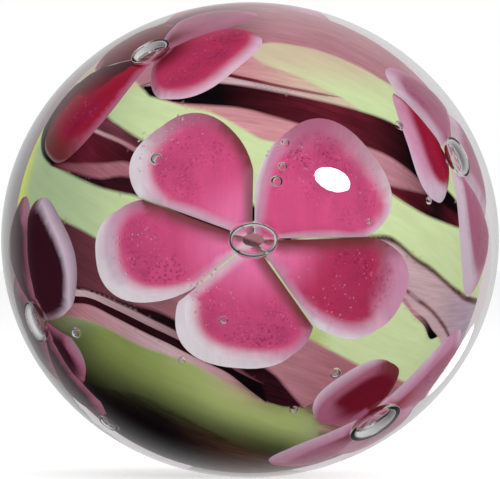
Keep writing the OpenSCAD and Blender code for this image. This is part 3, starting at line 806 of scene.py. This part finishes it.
def flower_net(outlines):
    """Triangles over a flower, in millimetres from its middle, cut along all outlines."""
    index, points, edges = {}, [], set()

    def add(q):
        key = (round(q[0], 4), round(q[1], 4))
        if key not in index:
            index[key] = len(points)
            points.append(key)
        return index[key]

    for o in outlines:
        o = [np.array(q) for q in o]
        for a, b in zip(o, o[1:] + o[:1]):
            if min(np.linalg.norm(a), np.linalg.norm(b)) > ROOM_REACH - 0.5:
                continue
            parts = max(1, int(np.linalg.norm(b - a) / FLOWER_STEP))
            ids = [add(a + (b - a) * k / parts) for k in range(parts + 1)]
            edges |= {(u, v) for u, v in zip(ids, ids[1:]) if u != v}

    def cell(x, y):
        return int(x // FLOWER_CELL), int(y // FLOWER_CELL)

    cells = {cell(x, y) for x, y in points}
    for j in range(-50, 51):
        for i in range(-46, 47):
            x, y = (i + 0.5 * (j % 2)) * FLOWER_SPACING, j * FLOWER_ROW
            cx, cy = cell(x, y)
            around = {(cx + u, cy + v) for u in (-1, 0, 1) for v in (-1, 0, 1)}
            if math.hypot(x, y) < FLOWER_REACH and not around & cells:
                add((x, y))
    verts, _, tris, _, _, _ = delaunay_2d_cdt([Vector(p) for p in points], list(edges), [], 0, 1e-6)
    verts, tris = np.array([tuple(v) for v in verts]), np.array([t for t in tris if len(t) == 3])
    return verts, facing_out(verts, tris, 1e-9)


def flower_place(lon, lat):
    """A function that puts points of a flower on the marble at radius r, in metres."""
    lon, lat = math.radians(lon), math.radians(lat)
    out = np.array([math.cos(lat) * math.cos(lon), math.cos(lat) * math.sin(lon), math.sin(lat)])
    east = np.array([-math.sin(lon), math.cos(lon), 0])
    north = np.cross(out, east)

    def place(q, r):
        depth = np.sqrt(np.maximum(r * r - (q * q).sum(1), 0.01))
        co = q[:, :1] * east + q[:, 1:] * north + depth[:, None] * out
        return co * np.array([1, 1, PRESS]) * MM
    return place


def petal_height(verts, tris, bubble, tall):
    """Rounded at the petal's edge, and running out to a thin skin under the bubble in the middle."""
    e = border(tris)
    d, _, _ = near_edge(verts, verts[e[:, 0]], verts[e[:, 1]])
    height = PETAL_H * (1 - (1 - np.minimum(d / PETAL_SHOULDER, 1)) ** 2)
    room_up = step(0.78 * bubble, 1.12 * bubble, np.hypot(verts[:, 0], verts[:, 1] / tall))
    return np.minimum(height, SKIN_H + (PETAL_H - SKIN_H) * room_up)


def build_flower(f):
    name, lon, lat, shift = FLOWERS[f]
    petals, looks = PETALS[f], LOOKS[name]
    over = [petal_outline(p, (shift[0] / 2, shift[1] / 2)) for p in petals]
    under = [petal_outline(p, (-shift[0] / 2, -shift[1] / 2)) for p in petals]
    rooms = [petal_room(petals, i) for i in range(len(petals))]
    tall, hole = (FRONT_TALL, FRONT_HOLE) if name == "front" else (1, SIDE_HOLE)
    bubble = BUBBLE_W / 2 * BUBBLE_SIZE[name]
    ring = [(hole * math.cos(a), hole * tall * math.sin(a)) for a in np.radians(range(0, 360, 10))]
    verts, tris = flower_net(over + under + rooms + [ring])
    mid = verts[tris].mean(1)
    clear = np.hypot(mid[:, 0], mid[:, 1] / tall) > hole - 0.02
    place = flower_place(lon, lat)

    whites = []
    for i, petal in enumerate(petals):
        room = inside(mid, rooms[i]) & clear
        pink, white = room & inside(mid, over[i]), room & inside(mid, under[i])
        height = petal_height(verts, tris[pink | white], bubble, tall)
        e = border(tris[pink])
        e = e[np.hypot(*((verts[e[:, 0]] + verts[e[:, 1]]) / 2 / (1, tall)).T) > hole + 0.1]
        d_pink, to_rim, left = near_edge(verts, verts[e[:, 0]], verts[e[:, 1]])
        inner = np.zeros(len(verts), bool)
        inner[np.unique(tris[pink])] = True
        to_rim = np.where(inner[:, None], to_rim, -to_rim) - 0.2 * left
        colours, grain = petal_paint(verts, looks[i], petal, d_pink, to_rim, inner,
                                     RIM_WHITE.get(name, WHITE))
        under_pink = np.minimum(height / 2, WHITE_H / 2)
        base = place(verts, CORE_R - PETAL_SINK)
        both = tris[white & pink]
        seat = np.where(np.isin(np.arange(len(verts)), np.unique(both)), CORE_R + under_pink,
                        CORE_R - PETAL_SINK)
        node = "petal_%s_%d" % (name, i + 1)
        obj = slab(node + "_glass", place(verts, CORE_R + height), place(verts, seat), tris[pink],
                   colours, {"grain": grain})
        finish_petal(obj, verts[np.unique(tris[pink])], node)
        rest = tris[white & ~pink]
        if len(rest):
            whites.append((place(verts, CORE_R + height), base, rest, colours))
        if len(both):
            whites.append((place(verts, CORE_R + under_pink - 0.01), base, both, colours))
    join_white(name, whites)


def finish_petal(obj, q, node):
    set_flow(obj, [np.concatenate([v, v]) for v in (q[:, 0] * 5, q[:, 1] * 5)])
    finish_piece(obj, node, PINK)


def join_white(name, whites):
    """The white glass of one flower, as one piece."""
    parts = [slab("part", *w) for w in whites]
    bpy.ops.object.select_all(action="DESELECT")
    for part in parts:
        part.select_set(True)
    bpy.context.view_layer.objects.active = parts[0]
    bpy.ops.object.join()
    obj = parts[0]
    obj.name = "white_%s_glass" % name
    co = np.array([tuple(v.co) for v in obj.data.vertices])
    set_flow(obj, (co[:, 0] * 4000, co[:, 2] * 4000))
    finish_piece(obj, "white_" + name, WHITE_GLASS)


# ---- the clear glass and its bubbles
# Degrees to the right and up from the middle of the front, and the radius in millimetres
SMALL_BUBBLES = [
    (-29, 26, 0.45), (8, 18, 0.45), (10, 23, 0.35), (11, 31, 0.3), (37, 6, 0.25), (-8, -25, 0.35),
    (-62, -34, 0.4), (28, -45, 0.4), (15, -60, 0.3), (52, 41, 0.35), (62, 14, 0.25),
    (-22, -40, 0.25), (-58, -76, 0.7),
]
# Groups of tiny bubbles: place and spread in degrees, and how many
SWARMS = [(-30, 30, 9, 26), (-20, 38, 7, 12), (12, 24, 8, 22), (10, 12, 5, 6), (-37, -3, 9, 26),
          (-12, -20, 8, 22), (-14, -12, 5, 8), (26, -19, 8, 18), (18, -8, 5, 6), (38, 20, 10, 8)]


def clear_glass():
    mat, _, shader = new_material("clear_glass")
    shader.inputs["Base Color"].default_value = (0.985, 0.99, 0.99, 1)
    shader.inputs["Roughness"].default_value = 0.0
    shader.inputs["IOR"].default_value = 1.52
    shader.inputs["Transmission Weight"].default_value = 1.0
    return mat


def build_casing():
    random.seed(7)
    bm = bmesh.new()
    bmesh.ops.create_uvsphere(bm, u_segments=256, v_segments=128, radius=CASING_R * MM)
    balls = []
    for name, lon, lat, _ in FLOWERS:
        tall = FRONT_TALL if name == "front" else 1
        turn = Matrix.Rotation(math.radians(lon), 4, "Z") @ Matrix.Rotation(-math.radians(lat), 4, "Y")
        high, wide = MM * BUBBLE_H / 2 * BUBBLE_SIZE[name], MM * BUBBLE_W / 2 * BUBBLE_SIZE[name]
        move = Matrix.Translation((MM * (CORE_R + 0.05) + high, 0, 0))
        size = Matrix.Diagonal((high, wide, wide * tall, 1))
        balls.append((turn @ move @ size, 4))

    def ball_at(right, up, r, lift, detail):
        t = math.radians(math.hypot(right, up))
        k = math.sin(t) / max(math.hypot(right, up), 1e-6)
        centre = Vector((k * right, -math.cos(t), k * up)) * (CORE_R + PETAL_H + lift + r) * MM
        balls.append((Matrix.Translation(centre) @ Matrix.Scale(r * MM, 4), detail))

    for right, up, r in SMALL_BUBBLES:
        ball_at(right, up, r, 0.15, 3)
    for right, up, spread, count in SWARMS:
        for _ in range(count):
            a, d = random.uniform(0, 2 * math.pi), spread * math.sqrt(random.random())
            ball_at(right + d * math.cos(a), up + d * math.sin(a), random.uniform(0.05, 0.11),
                    random.uniform(0.05, 0.3), 1)
    for matrix, detail in balls:
        made = bmesh.ops.create_icosphere(bm, subdivisions=detail, radius=1, matrix=matrix)
        faces = list(dict.fromkeys(f for v in made["verts"] for f in v.link_faces))
        bmesh.ops.reverse_faces(bm, faces=faces)
    bmesh.ops.scale(bm, vec=(1, 1, PRESS), verts=bm.verts)
    for face in bm.faces:
        face.smooth = True
    mesh = bpy.data.meshes.new("casing_glass")
    bm.to_mesh(mesh)
    bm.free()
    obj = bpy.data.objects.new("casing_glass", mesh)
    scene.collection.objects.link(obj)
    obj.visible_shadow = False
    obj.visible_diffuse = False
    finish_piece(obj, "clear_casing", clear_glass())


# ---- studio
def build_world():
    """White behind the marble, darker in front of it, and grey to its upper left."""
    world = bpy.data.worlds.new("studio")
    scene.world = world
    world.use_nodes = True
    nodes, links = world.node_tree.nodes, world.node_tree.links
    nodes.clear()
    out = nodes.new("ShaderNodeOutputWorld")
    path = nodes.new("ShaderNodeLightPath")
    place = nodes.new("ShaderNodeTexCoord")

    def toward(direction, a, b, low, high):
        dot = nodes.new("ShaderNodeVectorMath")
        dot.operation = "DOT_PRODUCT"
        dot.inputs[1].default_value = Vector(direction).normalized()
        links.new(place.outputs["Generated"], dot.inputs[0])
        out = graded(world.node_tree, dot.outputs["Value"], a, b, low, high)
        out.node.interpolation_type = "SMOOTHSTEP"
        return out

    def total(a, b):
        add = nodes.new("ShaderNodeMath")
        links.new(a, add.inputs[0])
        links.new(b, add.inputs[1])
        return add.outputs["Value"]

    def light(strength):
        node = nodes.new("ShaderNodeBackground")
        node.inputs["Color"].default_value = (1, 1, 1, 1)
        if isinstance(strength, float):
            node.inputs["Strength"].default_value = strength
        else:
            links.new(strength, node.inputs["Strength"])
        return node.outputs["Background"]

    def choose(ray, a, b):
        node = nodes.new("ShaderNodeMixShader")
        links.new(path.outputs[ray], node.inputs["Fac"])
        links.new(a, node.inputs[1])
        links.new(b, node.inputs[2])
        return node.outputs["Shader"]

    # reflections show white behind the marble, dark in front, and a bright patch at the lower right
    seen_in_gloss = total(toward((0, 1, 0.1), 0.45, 0.98, 0.01, 0.7),
                          toward((0.444, 0.848, -0.289), 0.9942, 0.9968, 0.0, 3.5))
    seen_through = toward((-0.9, 0, -0.45), -1.0, 1.0, 0.14, 0.74)
    mixed = choose("Is Glossy Ray", light(0.74), light(seen_in_gloss))
    mixed = choose("Is Transmission Ray", mixed, light(seen_through))
    mixed = choose("Is Camera Ray", mixed, light(1.0))
    links.new(mixed, out.inputs["Surface"])


def add_lamp(name, direction, distance, size, power, shape="SQUARE", roll=0.0):
    lamp = bpy.data.lights.new(name, "AREA")
    lamp.shape = shape
    lamp.size, lamp.size_y = size
    lamp.energy = power
    obj = bpy.data.objects.new(name, lamp)
    scene.collection.objects.link(obj)
    d = Vector(direction).normalized()
    obj.matrix_world = Matrix.Translation(d * distance) @ d.to_track_quat("Z", "Y").to_matrix().to_4x4() \
        @ Matrix.Rotation(math.radians(roll), 4, "Z")
    obj.visible_camera = False
    return obj


def build_floor():
    """A white floor that the camera sees a little brighter than its light alone makes it."""
    bpy.ops.mesh.primitive_plane_add(size=6, location=(0, 0, -CASING_R * PRESS * MM))
    floor = bpy.context.object
    floor.name = "floor"
    mat, tree, shader = new_material("floor")
    shader.inputs["Base Color"].default_value = (0.97, 0.97, 0.97, 1)
    shader.inputs["Roughness"].default_value = 1.0
    shader.inputs["Specular IOR Level"].default_value = 0.0
    shader.inputs["Emission Color"].default_value = (1, 1, 1, 1)
    seen = tree.nodes.new("ShaderNodeLightPath").outputs["Is Camera Ray"]
    tree.links.new(times(tree, seen, 0.2), shader.inputs["Emission Strength"])
    floor.data.materials.append(mat)
    floor.visible_glossy = floor.visible_transmission = False


def build_camera():
    """A long lens 0.45 m in front, which shows the marble as wide as the photograph does."""
    cam = bpy.data.cameras.new("camera")
    cam.sensor_width, cam.lens, cam.shift_y = 36, 424.2, 0.001
    cam.clip_start, cam.clip_end = 0.01, 20
    camera = bpy.data.objects.new("camera", cam)
    camera.matrix_world = Matrix.Translation((0, -0.45, 0)) @ Matrix.Rotation(math.pi / 2, 4, "X")
    scene.collection.objects.link(camera)
    scene.camera = camera


def build_studio():
    build_world()
    key = add_lamp("key", (0.25, -0.55, 0.9), 0.9, (0.7, 0.7), 3.3)
    key.visible_glossy = key.visible_transmission = False
    spot = add_lamp("highlight", (0.585, -0.665, 0.468), 0.6, (0.172, 0.118), 1.7, "ELLIPSE", -25)
    spot.visible_diffuse = spot.visible_transmission = False
    build_floor()
    build_camera()
    scene.view_settings.view_transform = "Standard"


build_core()
for f in range(len(FLOWERS)):
    build_flower(f)
build_casing()
build_studio()
